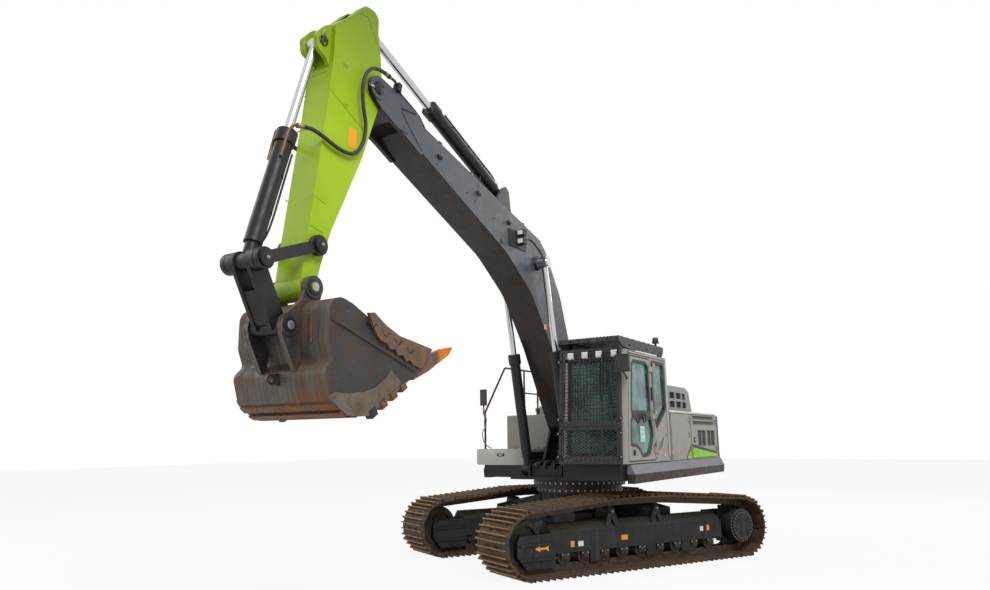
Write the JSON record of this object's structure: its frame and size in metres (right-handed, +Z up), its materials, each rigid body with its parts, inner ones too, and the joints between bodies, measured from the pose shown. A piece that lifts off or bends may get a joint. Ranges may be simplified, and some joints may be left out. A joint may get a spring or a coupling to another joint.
{
  "type": "crawler excavator",
  "caption": "Crawler excavator with a guarded cab, bent boom, arm and bucket on hydraulic cylinders, slewing on steel tracks.",
  "frame": {"origin": "where the slewing axis meets the ground", "axes": "+Z up; -Y ahead of the upper structure, the way the cab faces and the boom reaches; +X to the operator's left, the cab's side"},
  "size_m": [5.2822, 10.466, 6.8928],
  "materials": {
    "track_steel": "worn, rusty",
    "undercarriage_grey": "matte paint",
    "frame_grey": "matte paint",
    "panel_grey": "satin paint",
    "hood_grey": "satin paint",
    "boom_slate": "satin paint",
    "arm_green": "satin paint",
    "bucket_steel": "worn, rusty",
    "tooth_steel": "rusty",
    "barrel_grey": "satin paint",
    "rod_chrome": "polished",
    "ring_steel": "machined",
    "cab_glass": "clear tint",
    "guard_black": "matte paint",
    "seat_cloth": "woven",
    "console_plastic": "moulded",
    "engine_iron": "rough",
    "hose_rubber": "matte"
  },
  "bodies": {
    "undercarriage": {"car_body": "undercarriage_grey", "slew_ring": "ring_steel", "track_frame_left": "undercarriage_grey", "track_frame_right": "undercarriage_grey", "track_left": "track_steel", "track_right": "track_steel", "final_drive_left": "undercarriage_grey", "final_drive_right": "undercarriage_grey", "idler_left": "track_steel", "idler_right": "track_steel", "rollers_left": "track_steel", "rollers_right": "track_steel"},
    "upper": {"turntable_frame": "frame_grey", "counterweight": "hood_grey", "side_skirts": "panel_grey", "cab_base": "frame_grey", "cab_shell": "panel_grey", "cab_windows": "cab_glass", "front_guard": "guard_black", "roof_guard": "guard_black", "operator_seat": "seat_cloth", "cab_console": "console_plastic", "mirrors": "frame_grey", "handrails": "frame_grey", "toolbox": "frame_grey", "fuel_tank": "panel_grey", "hydraulic_tank": "panel_grey", "engine_housing": "panel_grey", "engine_block": "engine_iron", "control_valve": "frame_grey"},
    "cab_door": {"cab_door": "panel_grey", "cab_door_glass": "cab_glass"},
    "left_front_door": {"left_front_door": "panel_grey"},
    "left_rear_door": {"left_rear_door": "panel_grey"},
    "right_side_door": {"right_side_door": "panel_grey"},
    "engine_hood": {"engine_hood": "hood_grey"},
    "toolbox_lid": {"toolbox_lid": "panel_grey"},
    "boom": {"boom": "boom_slate", "boom_lamps": "guard_black", "boom_pipes": "guard_black"},
    "boom_barrel_left": {"boom_cylinder_barrel_left": "barrel_grey"},
    "boom_barrel_right": {"boom_cylinder_barrel_right": "barrel_grey"},
    "boom_rod_left": {"boom_cylinder_rod_left": "rod_chrome"},
    "boom_rod_right": {"boom_cylinder_rod_right": "rod_chrome"},
    "arm_barrel": {"arm_cylinder_barrel": "barrel_grey"},
    "arm_rod": {"arm_cylinder_rod": "rod_chrome"},
    "arm": {"arm": "arm_green", "hose_left": "hose_rubber", "hose_right": "hose_rubber"},
    "bucket_rod": {"bucket_cylinder_rod": "rod_chrome"},
    "bucket_barrel": {"bucket_cylinder_barrel": "barrel_grey"},
    "idler_links": {"idler_links": "arm_green"},
    "h_link": {"h_link": "barrel_grey"},
    "bucket": {"bucket": "bucket_steel", "bucket_teeth": "tooth_steel"}
  },
  "joints": [
    {"name": "swing", "type": "hinge", "parent": "undercarriage", "child": "upper", "pos_m": [0, 0, 1.12], "axis": [0, 0, 1], "continuous": true},
    {"name": "cab_door_swing", "type": "hinge", "parent": "upper", "child": "cab_door", "pos_m": [1.558, -0.458, 2.2], "axis": [0, 0, 1], "range_deg": [0, 160]},
    {"name": "left_front_door_swing", "type": "hinge", "parent": "upper", "child": "left_front_door", "pos_m": [1.557, 1.242, 1.9], "axis": [0, 0, 1], "range_deg": [0, 90]},
    {"name": "left_rear_door_swing", "type": "hinge", "parent": "upper", "child": "left_rear_door", "pos_m": [1.557, 2.707, 1.9], "axis": [0, 0, 1], "range_deg": [0, 90]},
    {"name": "right_side_door_swing", "type": "hinge", "parent": "upper", "child": "right_side_door", "pos_m": [-1.517, 2.707, 1.9], "axis": [0, 0, -1], "range_deg": [0, 90]},
    {"name": "engine_hood_lift", "type": "hinge", "parent": "upper", "child": "engine_hood", "pos_m": [0, 1.358, 2.32], "axis": [1, 0, 0], "range_deg": [0, 55]},
    {"name": "toolbox_lid_lift", "type": "hinge", "parent": "upper", "child": "toolbox_lid", "pos_m": [-1, 0.1, 1.706], "axis": [-1, 0, 0], "range_deg": [0, 80]},
    {"name": "boom_lift", "type": "hinge", "parent": "upper", "child": "boom", "pos_m": [0, -0.284, 1.975], "axis": [-1, 0, 0], "range_deg": [-65, 27]},
    {"name": "arm_swing", "type": "hinge", "parent": "boom", "child": "arm", "pos_m": [0, -5.44, 5.9], "axis": [-1, 0, 0], "range_deg": [-35, 78], "deforming": ["hose_left", "hose_right"]},
    {"name": "bucket_curl", "type": "hinge", "parent": "arm", "child": "bucket", "pos_m": [0, -6.355, 3.364], "axis": [-1, 0, 0], "range_deg": [-38, 118]},
    {"name": "boom_barrel_turn_left", "type": "hinge", "parent": "upper", "child": "boom_barrel_left", "pos_m": [0.373, -1.038, 1.391], "axis": [-1, 0, 0], "range_deg": [-63.3, 26.6]},
    {"name": "boom_rod_slide_left", "type": "slide", "parent": "boom_barrel_left", "child": "boom_rod_left", "axis": [0, -0.2156, 0.9765], "range_m": [-1.001, 0.419]},
    {"name": "boom_barrel_turn_right", "type": "hinge", "parent": "upper", "child": "boom_barrel_right", "pos_m": [-0.373, -1.038, 1.391], "axis": [-1, 0, 0], "range_deg": [-63.3, 26.6]},
    {"name": "boom_rod_slide_right", "type": "slide", "parent": "boom_barrel_right", "child": "boom_rod_right", "axis": [0, -0.2156, 0.9765], "range_m": [-1.001, 0.419]},
    {"name": "arm_barrel_turn", "type": "hinge", "parent": "boom", "child": "arm_barrel", "pos_m": [0, -2.42, 5.47], "axis": [-1, 0, 0], "range_deg": [-1.4, 2.5]},
    {"name": "arm_rod_slide", "type": "slide", "parent": "arm_barrel", "child": "arm_rod", "axis": [0, -0.9175, 0.3977], "range_m": [-1.091, 0.492]},
    {"name": "bucket_rod_turn", "type": "hinge", "parent": "arm", "child": "bucket_rod", "pos_m": [0, -6.215, 6.17], "axis": [-1, 0, 0], "range_deg": [-1.7, 4.1]},
    {"name": "bucket_barrel_slide", "type": "slide", "parent": "bucket_rod", "child": "bucket_barrel", "axis": [0, -0.2755, -0.9613], "range_m": [-0.986, 0.321]},
    {"name": "idler_links_turn", "type": "hinge", "parent": "arm", "child": "idler_links", "pos_m": [0, -6.283, 3.815], "axis": [-1, 0, 0], "range_deg": [-28.5, 87.4]},
    {"name": "h_link_turn", "type": "hinge", "parent": "bucket", "child": "h_link", "pos_m": [0, -6.651, 2.942], "axis": [-1, 0, 0], "range_deg": [-82.9, 27.1]}
  ],
  "couplings": [
    {"joint": "boom_barrel_turn_left", "follows": "boom_lift", "ratio": 0.9657},
    {"joint": "boom_rod_slide_left", "follows": "boom_lift", "m_per_rad": 0.8776},
    {"joint": "boom_barrel_turn_right", "follows": "boom_lift", "ratio": 0.9657},
    {"joint": "boom_rod_slide_right", "follows": "boom_lift", "m_per_rad": 0.8776},
    {"joint": "arm_barrel_turn", "follows": "arm_swing", "ratio": 0.0255},
    {"joint": "arm_rod_slide", "follows": "arm_swing", "m_per_rad": -0.798},
    {"joint": "bucket_rod_turn", "follows": "bucket_curl", "ratio": 0.0307},
    {"joint": "bucket_barrel_slide", "follows": "bucket_curl", "m_per_rad": -0.4764},
    {"joint": "idler_links_turn", "follows": "bucket_curl", "ratio": 0.7362},
    {"joint": "h_link_turn", "follows": "bucket_curl", "ratio": -0.6987}
  ]
}
